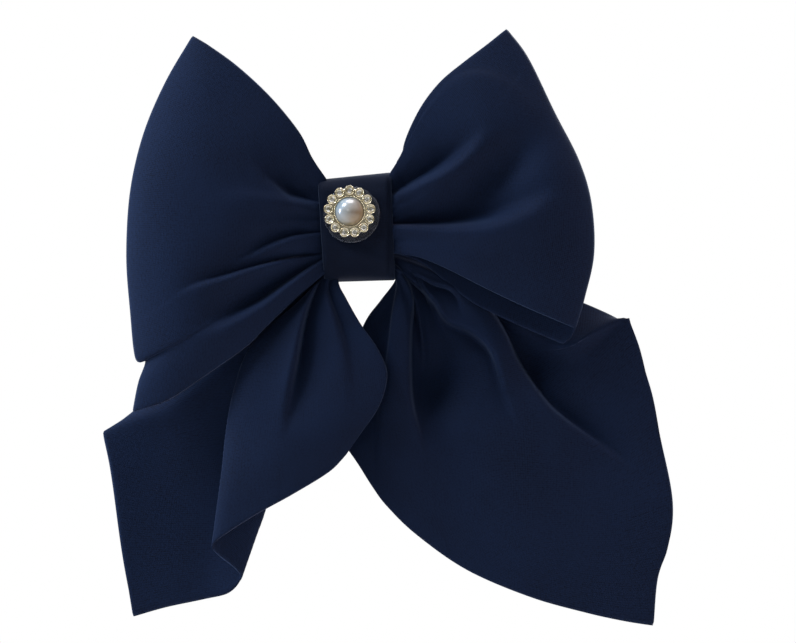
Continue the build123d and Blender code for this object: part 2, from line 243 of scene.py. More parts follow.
def make_metal(name, dark, light, roughness, grain, stretch):
    """Plated or rolled metal, with fine marks that vary its colour and gloss. The marks are grain mm across
    and drawn out along any axis whose stretch is under 1, which gives a brushed look."""
    material, tree = new_material(name)
    place = add(tree, "ShaderNodeTexCoord").outputs["Object"]
    turned = add(tree, "ShaderNodeMapping", {"Vector": place, "Scale": stretch})
    marks = add(tree, "ShaderNodeTexNoise", {"Vector": turned.outputs[0], "Scale": grains(grain),
                                             "Detail": 4.0})
    cloud = add(tree, "ShaderNodeTexNoise", {"Vector": place, "Scale": grains(8.333), "Detail": 3.0})
    mixed = add(tree, "ShaderNodeMath", {0: marks.outputs["Fac"], 1: 0.6, 2: cloud.outputs["Fac"]},
                operation="MULTIPLY_ADD")
    colour = add(tree, "ShaderNodeValToRGB", {"Fac": mixed.outputs[0]})
    colour.color_ramp.elements[0].position = 0.5
    colour.color_ramp.elements[0].color = linear(dark)
    colour.color_ramp.elements[1].position = 1.05
    colour.color_ramp.elements[1].color = linear(light)
    gloss = add(tree, "ShaderNodeMapRange", {"Value": marks.outputs["Fac"], "From Min": 0.3,
                                             "From Max": 0.7, "To Min": roughness - 0.04,
                                             "To Max": roughness + 0.05})
    bump = add(tree, "ShaderNodeBump", {"Height": marks.outputs["Fac"], "Strength": 0.03,
                                        "Distance": 0.03 * MM})
    shader = add(tree, "ShaderNodeBsdfPrincipled", {
        "Base Color": colour.outputs["Color"], "Metallic": 1.0, "Roughness": gloss.outputs[0],
        "Normal": bump.outputs["Normal"],
    })
    finish_material(tree, shader)
    return material


def make_crystal():
    """Cut glass with a foil back: each facet mirrors the room, bright or dark, under a clear gloss."""
    material, tree = new_material("foil_backed_crystal")
    place = add(tree, "ShaderNodeTexCoord").outputs["Object"]
    cloud = add(tree, "ShaderNodeTexNoise", {"Vector": place, "Scale": grains(1.111), "Detail": 2.0})
    ramp = add(tree, "ShaderNodeValToRGB", {"Fac": cloud.outputs["Fac"]})
    ramp.color_ramp.elements[0].position = 0.4
    ramp.color_ramp.elements[0].color = linear("#bdb596")
    ramp.color_ramp.elements[1].position = 0.6
    ramp.color_ramp.elements[1].color = linear("#fffef4")
    shader = add(tree, "ShaderNodeBsdfPrincipled", {
        "Base Color": ramp.outputs["Color"], "Metallic": 0.85, "Roughness": 0.05, "Coat Weight": 1.0,
        "Coat Roughness": 0.02,
    })
    finish_material(tree, shader)
    return material


def make_nacre(low, high):
    """Pearl lacquer on a plastic half bead: a soft deep gloss with a painted reflection that turns from
    cool at low to warm at high, both places along the tilted axis."""
    material, tree = new_material("pearl_lacquer")
    place = add(tree, "ShaderNodeTexCoord").outputs["Object"]
    turned = add(tree, "ShaderNodeMapping", {"Vector": place, "Rotation": (0, -PAINTED_REFLECTION_TILT, 0)})
    across = add(tree, "ShaderNodeSeparateXYZ", {"Vector": turned.outputs[0]}).outputs["X"]
    swirl = add(tree, "ShaderNodeTexNoise", {"Vector": place, "Scale": grains(3.846), "Detail": 3.0,
                                             "Distortion": 0.8})
    shift = add(tree, "ShaderNodeMath", {0: swirl.outputs["Fac"], 1: 4 * MM, 2: across},
                operation="MULTIPLY_ADD")
    tone = add(tree, "ShaderNodeMapRange", {"Value": shift.outputs[0], "From Min": low, "From Max": high})
    ramp = add(tree, "ShaderNodeValToRGB", {"Fac": tone.outputs[0]})
    # painted reflections: cool blue towards the upper left, warm tan towards the lower right
    ramp.color_ramp.elements[0].color = linear("#88abc2")
    ramp.color_ramp.elements[1].color = linear("#8d7f5e")
    between = ramp.color_ramp.elements.new(0.5)
    between.color = linear("#a9afae")
    shader = add(tree, "ShaderNodeBsdfPrincipled", {
        "Base Color": ramp.outputs["Color"], "Roughness": 0.26, "Metallic": 0.2, "Coat Weight": 0.9,
        "Coat Roughness": 0.09, "Sheen Weight": 0.15, "Sheen Tint": linear("#d8e6f0"),
    })
    finish_material(tree, shader)
    return material


def make_glue():
    """Clear hot-melt glue: slightly milky, with a wavy glossy skin."""
    material, tree = new_material("clear_hot_glue")
    place = add(tree, "ShaderNodeTexCoord").outputs["Object"]
    wave = add(tree, "ShaderNodeTexNoise", {"Vector": place, "Scale": grains(4.545), "Detail": 2.0})
    ramp = add(tree, "ShaderNodeValToRGB", {"Fac": wave.outputs["Fac"]})
    ramp.color_ramp.elements[0].color = linear("#3c4558")
    ramp.color_ramp.elements[1].color = linear("#8e99ad")
    bump = add(tree, "ShaderNodeBump", {"Height": wave.outputs["Fac"], "Strength": 0.3,
                                        "Distance": 0.3 * MM})
    shader = add(tree, "ShaderNodeBsdfPrincipled", {
        "Base Color": ramp.outputs["Color"], "Roughness": 0.1, "IOR": 1.4, "Transmission Weight": 0.88,
        "Specular IOR Level": 0.4, "Normal": bump.outputs["Normal"],
    })
    finish_material(tree, shader)
    return material


# --- curves and grids of cloth ----------------------------------------------------------------------

def smooth_path(points, count):
    """A Catmull-Rom curve through the points, resampled to evenly spaced places."""
    p = np.array(points, float)
    p = np.vstack([2 * p[0] - p[1], p, 2 * p[-1] - p[-2]])
    dense = []
    for i in range(1, len(p) - 2):
        t = np.linspace(0, 1, 24, endpoint=False)[:, None]
        a, b, c, d = p[i - 1], p[i], p[i + 1], p[i + 2]
        dense.append(0.5 * (2 * b + (c - a) * t + (2 * a - 5 * b + 4 * c - d) * t**2
                            + (3 * b - a - 3 * c + d) * t**3))
    dense = np.vstack([*dense, p[-2:-1]])
    length = np.concatenate([[0], np.cumsum(np.linalg.norm(np.diff(dense, axis=0), axis=1))])
    at = np.linspace(0, length[-1], count)
    return np.stack([np.interp(at, length, dense[:, k]) for k in range(dense.shape[1])], axis=1)


def loft(ribs, across, along):
    """A grid of points through ribs that run side by side: [across, along, xyz]."""
    lines = np.array([smooth_path(rib, along) for rib in ribs])
    grid = np.empty((across, along, lines.shape[2]))
    for j in range(along):
        grid[:, j] = smooth_path(lines[:, j], across)
    return grid


def soft_step(value, low, high):
    """0 below low, 1 above high, and a smooth rise between."""
    t = np.clip((value - low) / (high - low), 0, 1)
    return t * t * (3 - 2 * t)


def along_path(x, z, path):
    """For each point: signed distance to a path seen from the front, and how far along it is."""
    line = smooth_path(path, 60)
    start, step = line[:-1], np.diff(line, axis=0)
    size = (step**2).sum(axis=1)
    best = np.full(x.shape, 1e9)
    side = np.zeros(x.shape)
    gaps = []
    for k in range(len(step)):
        dx, dz = x - start[k, 0], z - start[k, 1]
        t = np.clip((dx * step[k, 0] + dz * step[k, 1]) / size[k], 0, 1)
        distance = np.hypot(dx - t * step[k, 0], dz - t * step[k, 1])
        nearer = distance < best
        best = np.where(nearer, distance, best)
        turn = step[k, 0] * dz - step[k, 1] * dx
        side = np.where(nearer, np.sign(turn), side)
        gaps.append((distance, (k + t) / len(step)))
    total = np.zeros(x.shape)
    far = np.zeros(x.shape)
    for distance, place in gaps:
        # every nearly nearest stretch counts, so that nothing jumps inside a bend
        weight = np.exp((best - distance) / (0.4 + 0.25 * best))
        total += weight
        far += weight * place
    return best * side, far / total


def crease(x, z, path, depth, deep, lift, level=-0.5, side=1, fade=0.5, sharp=(0.4, 2.5)):
    """How far a crease pushes the cloth back (+Y). One side of its line is deep and rises again over
    the distance deep; the other side is at level times that depth and settles over the distance lift.
    Each distance is a pair, at the knot and at the far end, and sharp is how abrupt the line is. The
    crease begins to die away at fade of its length."""
    distance, far = along_path(x, z, path)
    d = distance * side
    size = depth * (1 - soft_step(far, fade, 1.0)) * (0.5 + 0.5 * soft_step(far, 0.0, 0.4))
    rise = sharp[0] + (sharp[1] - sharp[0]) * far
    below = np.maximum(d, 0) / (deep[0] + (deep[1] - deep[0]) * far)
    above = np.maximum(-d, 0) / (lift[0] + (lift[1] - lift[0]) * far)
    share = 0.5 + 0.5 * np.tanh(d / rise)
    return size * (share * np.exp(-below) + (1 - share) * level * np.exp(-above))


def hollow(x, z, middle, reach, turn, depth):
    """How far a broad soft hollow pushes the cloth back (+Y); reach is along and across its length."""
    dx, dz = x - middle[0], z - middle[1]
    c, s = cos(radians(turn)), sin(radians(turn))
    return depth * np.exp(-((dx * c + dz * s) / reach[0]) ** 2 - ((dz * c - dx * s) / reach[1]) ** 2)


def cloth_mesh(name, grid, thickness, edge=1.2):
    """A doubled cloth with rounded, turned edges from a grid of points in mm; closed all round."""
    ni, nj = grid.shape[:2]
    di = np.gradient(grid, axis=0)
    dj = np.gradient(grid, axis=1)
    normal = np.cross(di, dj)
    normal /= np.maximum(np.linalg.norm(normal, axis=2, keepdims=True), 1e-9)
    step_i = np.linalg.norm(np.diff(grid, axis=0), axis=2).mean(axis=1)
    step_j = np.linalg.norm(np.diff(grid, axis=1), axis=2).mean(axis=0)
    place_i = np.concatenate([[0], np.cumsum(step_i)])
    place_j = np.concatenate([[0], np.cumsum(step_j)])
    gap_i = np.minimum(place_i, place_i[-1] - place_i)
    gap_j = np.minimum(place_j, place_j[-1] - place_j)
    gap = np.minimum(gap_i[:, None], gap_j[None, :])
    t = np.clip(gap / edge, 0, 1)
    half = thickness / 2 * np.sqrt(1 - (1 - t) ** 2)
    top = grid + normal * half[..., None]
    low = grid - normal * half[..., None]
    verts = [tuple(v) for v in (top.reshape(-1, 3) * MM)]
    inner = {}
    for i in range(1, ni - 1):
        for j in range(1, nj - 1):
            inner[(i, j)] = len(verts)
            verts.append(tuple(low[i, j] * MM))

    def upper(i, j):
        return i * nj + j

    def lower(i, j):
        return inner.get((i, j), i * nj + j)

    faces = []
    for i in range(ni - 1):
        for j in range(nj - 1):
            faces.append((upper(i, j), upper(i + 1, j), upper(i + 1, j + 1), upper(i, j + 1)))
            faces.append((lower(i, j), lower(i, j + 1), lower(i + 1, j + 1), lower(i + 1, j)))
    mesh = bpy.data.meshes.new(name)
    mesh.from_pydata(verts, [], faces)
    uv = mesh.uv_layers.new(name="cloth")
    at = np.zeros((len(verts), 2))
    grid_i, grid_j = np.meshgrid(place_i, place_j, indexing="ij")
    at[:ni * nj] = np.stack([grid_i.ravel(), grid_j.ravel()], axis=1)
    for (i, j), index in inner.items():
        at[index] = (place_i[i], place_j[j])
    loops = np.empty(len(mesh.loops), int)
    mesh.loops.foreach_get("vertex_index", loops)
    uv.data.foreach_set("uv", (at[loops] * MM).ravel())
    mesh.update()
    mesh.shade_smooth()
    obj = bpy.data.objects.new(name, mesh)
    bpy.context.scene.collection.objects.link(obj)
    return obj, (place_i[-1], place_j[-1])


def ripple(grid, size, length, seed):
    """Slow, shallow unevenness of relaxed cloth, in mm along Y."""
    out = np.empty(grid.shape[:2])
    shift = Vector((seed * 17.3, seed * 5.1, 0))      # a different stretch of the noise for each piece
    for i in range(grid.shape[0]):
        for j in range(grid.shape[1]):
            x, y, z = grid[i, j]
            out[i, j] = noise.noise(Vector((x / length, y / length, z / length)) + shift)
    return out * size


CLOTH_THICKNESS = 0.7         # two layers of crepe
KNOT_FRONT = -20.0            # y of the loops' front and back cloth where the band holds them
KNOT_BACK = -16.2
FOLD_Y = -20.5                # y of the loops' outer fold
FRONT_SWELL = 18.5            # a loop puffs forwards and backwards by these times swell()
BACK_SWELL = 8.5


# --- loops ------------------------------------------------------------------------------------------
# Ribs are (x, z) points in mm that run from the knot to the outer fold, listed from the bottom up.
# Creases are (x, z) paths from the knot outwards, with the sizes that crease() explains.

LEFT_LOOP_RIBS = [
    [(-9.5, -15.2), (-20.2, -24.5), (-29.6, -33.7), (-36.4, -40.5), (-49.8, -50), (-63.2, -58.8),
     (-75.2, -62.8)],
    [(-9.5, -13.5), (-28, -26.5), (-48, -42.5), (-73.2, -53)],
    [(-9.5, -12), (-29, -21), (-49, -34.5), (-70.8, -45.6)],
    [(-9.5, -11.2), (-29, -19), (-50, -31.5), (-74.2, -44.4)],
    [(-9.5, -8), (-32, -11.5), (-54, -18), (-76.0, -28)],
    [(-9.5, -3), (-35, -2.5), (-56, -4), (-77.2, -9)],
    [(-9.5, 3), (-35, 9), (-57, 12), (-75.9, 12)],
    [(-9.5, 8.5), (-32, 22), (-53, 31), (-71.6, 31)],
    [(-9.5, 13), (-26, 34), (-44, 47), (-64.2, 48.6)],
    [(-9.5, 15.9), (-14.5, 23.5), (-18.8, 32), (-28.2, 43.5), (-39.1, 53.7), (-49, 61), (-54.9, 64.7)],
]
LEFT_LOOP_CREASES = [
    dict(path=[(-11, 7.6), (-17.5, 8.9), (-22.8, 10.5), (-27.5, 14.6), (-30.3, 17.3), (-36, 26)],
         depth=7.0, deep=(5, 9), lift=(2.5, 8), level=-0.25, side=-1, fade=0.4),
    dict(path=[(-11, 6.4), (-19, 8.2), (-32.3, 10.6), (-43.2, 11), (-54, 9)],
         depth=1.6, deep=(3, 12), lift=(3, 8), level=-0.9, side=-1, fade=0.4, sharp=(1, 4)),
    dict(path=[(-11, -2.2), (-20, -3.4), (-28.2, -6.1), (-36.4, -10.2), (-48, -17)],
         depth=5.5, deep=(3.2, 13), lift=(1.6, 5), level=-0.2, side=-1, fade=0.35, sharp=(0.3, 2)),
    dict(path=[(-11, -9.2), (-22.8, -11.2), (-32.3, -13.6), (-43.2, -17), (-52.4, -19.7), (-62, -23.5)],
         depth=3.6, deep=(1.8, 9), lift=(3, 9), level=-0.5, side=-1, fade=0.55, sharp=(0.3, 0.9)),
    dict(path=[(-11, -11.4), (-18.7, -16.3), (-25.5, -21), (-32.3, -25.8), (-45, -32.6), (-60, -39)],
         depth=9.0, deep=(3.4, 12), lift=(1.6, 5), level=-0.35, side=-1, fade=0.4, sharp=(0.4, 3)),
    dict(path=[(-11, 1.8), (-22, 2.6), (-34, 2.2), (-46, 0)],
         depth=1.2, deep=(2.4, 9), lift=(2, 5), level=-0.4, side=-1, fade=0.1, sharp=(0.6, 3)),
]
RIGHT_LOOP_RIBS = [
    [(10, -8.6), (21.4, -10.4), (31, -14.3), (44.2, -21), (57.8, -27.4), (74.6, -34.5)],
    [(10, -4.5), (35, -6), (57, -13), (77.6, -24)],
    [(10, 1), (36, 3), (60, 1), (80.8, -9)],
    [(10, 6), (34, 13.5), (58, 17), (79.9, 8)],
    [(10, 11), (30, 26), (52, 33), (75.7, 22.5)],
    [(10, 14.5), (25, 37), (44, 49), (67.6, 38.5)],
    [(10, 15.8), (15.2, 20.8), (18.7, 29.5), (26, 43), (36, 52.2), (58.6, 57)],
    [(10, 16.8), (14.4, 18.4), (15.8, 22.4), (16.6, 28), (19.4, 35), (23.6, 42.4), (29.4, 49.4),
     (36.9, 55.6), (44.6, 61.5), (51.3, 67)],
]
RIGHT_LOOP_CREASES = [
    dict(path=[(11, 9.6), (20, 14.4), (28.2, 18.7), (35, 23.5), (40.3, 28.7), (46, 37)],
         depth=9.5, deep=(5, 12), lift=(2.6, 9), level=-0.3, side=1, fade=0.45, sharp=(0.5, 3)),
    dict(path=[(11, 0.6), (24.1, 0), (35, 0.5), (44.2, 1.7), (52.4, 4.4), (62, 9), (72, 17)],
         depth=11.5, deep=(6, 15), lift=(2.4, 9), level=-0.3, side=1, fade=0.5, sharp=(0.35, 4)),
    dict(path=[(11, -5.2), (24, -6), (38, -10), (54, -15)],
         depth=1.4, deep=(3, 9), lift=(2, 8), level=-0.8, side=1, fade=0.3, sharp=(1, 4)),
]
RIGHT_LOOP_HOLLOWS = [
    dict(middle=(48, 18), reach=(16, 7.5), turn=42, depth=6.0),
]


def swell(u):
    """How puffed a loop is at u of the way from the knot to its fold: 0 at both and at most about 0.6."""
    return 1.62 * u**0.8 * (1 - u) ** 0.62


def make_loop(name, ribs, creases, side, seed, hollows=(), across=190, front_count=124, back_count=52,
              drop=0.0):
    """Front layer from the knot to the outer fold, then the back layer back to the knot, which hangs lower
    than the front one by drop along its bottom edge."""
    front = loft(ribs, across, front_count)
    x, z = front[..., 0], front[..., 1]
    v = np.linspace(0, 1, across)[:, None]
    u = np.linspace(0, 1, front_count)[None, :]
    edge = 0.42 + 0.58 * np.sin(pi * v) ** 0.8       # the long edges puff less than the middle
    y = KNOT_FRONT + (FOLD_Y - KNOT_FRONT) * u - FRONT_SWELL * edge * swell(u)
    push = sum(crease(x, z, **c) for c in creases) + sum(hollow(x, z, **h) for h in hollows)
    # the creases are shallow where the band holds them and end before the fold
    hold = (1 - soft_step(u, 0.86, 1.0)) * (0.35 + 0.65 * soft_step(u, 0.0, 0.12))
    gathers = 0.25 * np.cos(2 * pi * (7.3 * v + 0.35 * np.sin(8 * v + seed))) * np.exp(-u * 7.0)
    y = y + push * hold + gathers
    front = np.stack([x, y, z], axis=2)
    u = np.linspace(1, 0, back_count)[None, :]
    back_xz = loft(ribs, across, back_count)[:, ::-1]
    x, z = back_xz[..., 0], back_xz[..., 1]
    y = KNOT_BACK + (FOLD_Y - KNOT_BACK) * u + BACK_SWELL * edge * swell(u)
    z = z - drop * (1 - v) ** 2 * soft_step(u, 0.05, 0.5) * (1 - soft_step(u, 0.93, 1.0) * 0.6)
    y = y + 0.9 * np.cos(2 * pi * (6 * v + 0.4 * np.sin(7 * v + seed))) * np.exp(-u * 6.0)
    back = np.stack([x, y, z], axis=2)
    grid = np.concatenate([front, back[:, 1:]], axis=1)
    grid[..., 1] += ripple(grid, 0.5, 22.0, seed)
    if side > 0:
        grid = grid[::-1]
    return cloth_mesh(name, grid, CLOTH_THICKNESS)


# --- tails ------------------------------------------------------------------------------------------
# Ribs are (x, y, z) points in mm from the knot to the hem, listed from one long edge to the other.

LEFT_TAIL_RIBS = [
    [(-8, -12, -10), (-40, -7, -34), (-66, -5, -54), (-76, -4.4, -62.3), (-83.4, -7, -68.6),
     (-84.7, -8.5, -70.2), (-82, -9.4, -84), (-78.6, -9.4, -112), (-75.3, -9.5, -133)],
    [(-8, -12.5, -11), (-38, -10, -38), (-60, -9.5, -59), (-76, -9.5, -66.2), (-84.2, -9.6, -70.4),
     (-85, -9.8, -71.8), (-82.6, -10.4, -86.4), (-79.2, -10.4, -112), (-75.6, -10, -133.2)],
    [(-8, -12.5, -12), (-30, -10.5, -38), (-52, -9.5, -64), (-69, -9.5, -82), (-70, -9.5, -105),
     (-65, -9.5, -130.2)],
    [(-8, -12.5, -13), (-24, -11, -40), (-40, -9.5, -68), (-51, -9, -95), (-52, -9, -127.5)],
    [(-8, -12.6, -14), (-18, -12, -42), (-29, -11, -70), (-38, -10.5, -98), (-43.5, -10.5, -125.2)],
    [(-8, -13.2, -14.6), (-15.5, -13, -42), (-24, -12.6, -70), (-30.8, -12, -95.5), (-34.2, -12, -105.5),
     (-39.3, -12, -120.4)],
    [(-8, -14, -15), (-17, -14.6, -42), (-26.5, -14.8, -70), (-34, -14.2, -97), (-40.9, -13.8, -116.8)],
    [(-8.5, -15.5, -15.2), (-26, -16.5, -40), (-37, -17, -68), (-42, -16.5, -92), (-46.8, -16, -111.6)],
    [(-7.5, -16, -12), (-11.5, -17.6, -17.6), (-20, -18.4, -26.5), (-31, -19, -35.7), (-37, -19.5, -43.9),
     (-40.7, -19.6, -54.7), (-43.4, -19.4, -68), (-45.2, -19, -84.3), (-48.5, -18.2, -108.6)],
    [(-7, -16.2, -12), (-11, -19, -18), (-20, -21.5, -30), (-30, -22.8, -42), (-36, -23.2, -58),
     (-40.5, -22.5, -80), (-45, -20.5, -105)],
    [(-6.4, -16.4, -12), (-10, -19.6, -18.4), (-17, -22.8, -36), (-24, -25, -55), (-29.5, -25.2, -76),
     (-33, -22.8, -97.2)],
    [(-5.8, -16.6, -12), (-8.6, -19.8, -18.6), (-12.5, -23.2, -36), (-14, -26, -58), (-17.5, -26, -74),
     (-21, -23.6, -90.5)],
    [(-5.2, -16.8, -12), (-6.8, -19.6, -18.8), (-6, -23, -36), (-3.6, -25.6, -56), (-5, -25.4, -70),
     (-8.5, -23.6, -82.8)],
    [(-4.8, -17, -12), (-5.6, -18.8, -18.6), (-3, -20.4, -24.2), (1.9, -21.6, -32.8), (7.5, -22.2, -40.8),
     (10.8, -22.4, -48.3), (10.4, -22.8, -54.6), (7.6, -23, -62), (2, -23, -70), (-2.7, -23, -76.8)],
]
LEFT_TAIL_CREASES = [
    dict(path=[(-9.5, -15), (-12.6, -19), (-15.4, -25.2), (-17.6, -33.2), (-19.4, -43.9), (-21.4, -54.7),
               (-22.8, -62.7), (-24, -74)],
         depth=7.5, deep=(2.4, 12), lift=(2, 7), level=-0.4, side=1, fade=0.45, sharp=(0.3, 1.2)),
    dict(path=[(-8, -15), (-9.4, -19.5), (-8.8, -23.8), (-5.4, -33.2), (-3.4, -39.8), (-1.4, -50.7),
               (-0.7, -58.8), (-1, -68)],
         depth=4.0, deep=(1.8, 8), lift=(2.2, 9), level=-0.4, side=1, fade=0.2, sharp=(0.3, 2)),
]
RIGHT_TAIL_RIBS = [
    [(10.6, -12.6, -11), (13.2, -12.2, -15), (13.4, -12, -18.4), (8.5, -10, -25), (3.1, -9, -32.6),
     (-3, -8.5, -48), (-5, -9.5, -62), (-2.6, -12, -75.9)],
    [(10.6, -12.6, -10.8), (13.8, -12.4, -18), (11, -10.5, -28), (6.2, -9.4, -46), (3, -10.5, -62),
     (1, -12.8, -81)],
    [(10.6, -12.8, -10.6), (14.2, -13.4, -18), (12.4, -12, -30), (9.8, -11.5, -48), (7, -12, -64),
     (5.8, -13, -88.6)],
    [(10.6, -13.4, -10.4), (14.4, -15, -18), (13.4, -15.6, -30), (11.8, -15.6, -48), (9.6, -15, -66),
     (10.8, -14, -95.2)],
    [(10.6, -13.8, -10.2), (14.4, -15.6, -18), (17.2, -16, -34), (17.4, -16, -56), (18, -15.4, -78),
     (21, -14.6, -105)],
    [(10.6, -14, -10), (15, -15.4, -17.6), (22.5, -13, -36), (27, -12.5, -60), (32, -14, -84),
     (38, -15.4, -116.8)],
    [(10.6, -14, -9.6), (16, -15.6, -16), (30, -14.5, -32), (42, -14.5, -58), (51, -15.6, -86),
     (59.5, -15.6, -126)],
    [(10.6, -14, -9), (17, -15, -14.6), (38, -14.5, -27), (55, -14.5, -54), (70, -14, -86),
     (79, -14.5, -131.6)],
    [(10.6, -13.6, -8.2), (26, -14.5, -15.5), (46, -12, -29), (68, -11, -54), (87, -11.5, -82),
     (92, -13, -134.6)],
    [(10.6, -13.2, -7.4), (26, -12.5, -13.4), (44, -11, -26), (64, -12.8, -36.5), (74, -14.2, -39.6),
     (81, -13.4, -35.9), (90.6, -10.4, -32.4), (92.4, -10.2, -34), (96.4, -9.8, -45), (100.5, -9.8, -59),
     (104.2, -10.2, -76), (107.4, -10.6, -95), (106, -10.6, -110), (102.6, -10.6, -121),
     (101.4, -10.6, -136.3)],
    [(10.6, -12.8, -6.4), (45, -7.8, -13), (77.5, -5.2, -25.2), (90.8, -8, -31.4), (92.6, -9.2, -33.4),
     (96.4, -9, -44.6), (100.4, -9, -59), (103.9, -9.4, -76), (107, -9.6, -95), (105.6, -9.8, -110),
     (102.2, -9.8, -121), (100.9, -9.8, -136.2)],
]
RIGHT_TAIL_CREASES = [
    dict(path=[(12, -9.4), (24.1, -13.6), (35, -19), (45.6, -27.9), (51, -35.7), (56.4, -46.6),
               (64.6, -58.8), (71.2, -65.3), (83.3, -74.1), (97, -84)],
         depth=6.0, deep=(3, 8), lift=(2.2, 6), level=-0.5, side=1, fade=0.72, sharp=(0.4, 0.8)),
    dict(path=[(14, -14), (25.5, -23.8), (31, -31.8), (39.1, -35.7), (44.2, -39.8), (47.6, -45.2),
               (50.3, -54.7), (53.7, -63.9), (56.4, -72)],
         depth=6.5, deep=(3, 14), lift=(2.5, 6), level=-0.35, side=-1, fade=0.5, sharp=(0.3, 0.9)),
    dict(path=[(13, -12.6), (16, -15.6), (19.4, -23.8), (18.7, -37), (18.7, -50.7), (19.6, -61.4),
               (22.1, -70.7), (24.1, -78.9)],
         depth=7.0, deep=(4, 12), lift=(2, 6), level=-0.35, side=1, fade=0.6, sharp=(0.3, 0.7)),
    dict(path=[(15, -15), (19.8, -22.4), (22.3, -33.2), (23.5, -43.9), (23.4, -52)],
         depth=-3.2, deep=(1.4, 2.2), lift=(1.2, 1.8), level=1.0, side=1, fade=0.6, sharp=(0.8, 1)),
    dict(path=[(20, -15), (24.8, -23.8), (28.2, -31.8), (33, -41)],
         depth=3.8, deep=(2, 6), lift=(1.6, 4), level=-0.4, side=-1, fade=0.35, sharp=(0.3, 1)),
    dict(path=[(22, -16.6), (27, -19.4), (32.3, -21), (35.4, -24.6), (37, -31)],
         depth=3.0, deep=(2, 4), lift=(1.2, 2.5), level=-0.6, side=-1, fade=0.5, sharp=(0.3, 0.6)),
]
RIGHT_TAIL_HOLLOWS = [
    dict(middle=(30, -48), reach=(11.5, 15), turn=0, depth=7.5),
    dict(middle=(61, -45), reach=(9, 11), turn=0, depth=5.0),
]


def make_tail(name, ribs, creases, seed, across, along, front_from=0.0, hollows=()):
    """A gathered strip through its ribs. Creases act on the part of its width from front_from on, which
    faces forwards."""
    grid = loft(ribs, across, along)
    x, z = grid[..., 0], grid[..., 2]
    u = np.linspace(0, 1, along)[None, :]
    part = np.linspace(0, 1, across)[:, None]
    facing = soft_step(part, front_from - 0.03, front_from + 0.03)
    push = sum(crease(x, z, **c) for c in creases) + sum(hollow(x, z, **h) for h in hollows)
    grid[..., 1] += push * facing * (0.3 + 0.7 * soft_step(u, 0.0, 0.12))
    grid[..., 1] += ripple(grid, 0.6, 24.0, seed) * soft_step(u, 0.0, 0.2)
    return cloth_mesh(name, grid, CLOTH_THICKNESS)


# --- knot band --------------------------------------------------------------------------------------
# The middle of its cloth, as (y, z) points round the knot from the tucked end to the lapped end.

BAND_PATH = [(-6.2, -8), (-6.2, -12), (-7.3, -15.2), (-9.8, -17.3), (-13, -17.9), (-17.5, -17.9),
             (-21.8, -16.1), (-23.6, -11.8), (-23.75, -5), (-23.8, 0), (-23.75, 5), (-23.6, 11.8),
             (-21.8, 16.1), (-17.5, 17.9), (-11.5, 17.9), (-7.1, 16.1), (-5.4, 11.8), (-5.35, 0),
             (-5.35, -14)]
BAND_LEFT = [(-18, -10.4), (0, -11.6), (18, -12.6)]     # x of each edge at three heights
BAND_RIGHT = [(-18, 13.6), (0, 12.9), (18, 12.3)]


def make_band(across=64, along=300):
    """The band's cloth: its top leans, its edges are turned under and its lower front is drawn in."""
    line = smooth_path(BAND_PATH, along)
    y, z = line[:, 0][None, :], line[:, 1][None, :]
    t = np.linspace(0, 1, across)[:, None]
    left = np.interp(z, *zip(*BAND_LEFT))
    right = np.interp(z, *zip(*BAND_RIGHT))
    x = left + (right - left) * t
    front = soft_step(-y, 12, 19)
    lean = (0.1 * (x - 12.3) + 0.3) * soft_step(z, 4, 16) + 0.03 * x * soft_step(-z, 8, 16)
    turned = 1.1 * soft_step(x, 10.2, 11.6) ** 2 + 0.5 * (1 - soft_step(t, 0.0, 0.06))
    under = 1.5 * soft_step(-z, 7, 18)
    relaxed = 0.18 * np.sin(x * 0.55 + 1.2) * np.sin(z * 0.22 + 0.5) + 0.12 * np.sin(z * 0.9 + 0.25 * x)
    grid = np.stack([x, y + (turned + under + relaxed + 0.15) * front, z + lean], axis=2)
    return cloth_mesh("knot_band_cloth", grid, CLOTH_THICKNESS, edge=0.6)


# --- button -----------------------------------------------------------------------------------------
# Each piece is modelled about the origin, facing +Z, in mm, and then put in its place facing forwards.

def clear_selection():
    """Leave no object selected."""
    bpy.ops.object.select_all(action="DESELECT")


def edit(obj, faces=None, edges=None, verts=None):
    """Go into edit mode with only the faces, edges or corners that pass a test selected."""
    bpy.ops.object.mode_set(mode="OBJECT")
    bpy.context.view_layer.objects.active = obj
    bpy.context.tool_settings.mesh_select_mode = (verts is not None, edges is not None, faces is not None)
    mesh = obj.data
    for part in (mesh.vertices, mesh.edges, mesh.polygons):
        part.foreach_set("select", [False] * len(part))
    if faces is not None:
        for face in mesh.polygons:
            face.select = faces(face)
    if edges is not None:
        for edge in mesh.edges:
            edge.select = edges(*[mesh.vertices[v].co for v in edge.vertices])
    if verts is not None:
        for vert in mesh.vertices:
            vert.select = verts(vert.co)
    bpy.ops.object.mode_set(mode="EDIT")


def leave_edit():
    """Go back to object mode, which writes the edit to the mesh."""
    bpy.ops.object.mode_set(mode="OBJECT")


def start_cylinder(radius, height, sides, low=0.0):
    """An upright cylinder of a size in mm whose lower face is at height low."""
    clear_selection()
    bpy.ops.mesh.primitive_cylinder_add(vertices=sides, radius=radius * MM, depth=height * MM,
                                        location=(0, 0, (low + height / 2) * MM))
    obj = bpy.context.object
    bpy.ops.object.transform_apply(location=True, rotation=True, scale=True)
    return obj


def is_front(face):
    """True for a face that looks along +Z, the front of a piece before it is put in place."""
    return face.normal.z > 0.9


def round_about(co):
    """The angle of a point round its piece's axis, from 0 to 2 pi."""
    return co.xy.angle_signed(Vector((1, 0)), 0) % (2 * pi)


def put(obj, x, y, z, turn=0.0):
    """Turn a piece's front from +Z to forwards, spin it by turn about that axis, and move it there."""
    place = Matrix.Translation((x * MM, y * MM, z * MM)) @ Matrix.Rotation(pi / 2, 4, "X")
    obj.data.transform(place @ Matrix.Rotation(turn, 4, "Z"))
    obj.data.update()


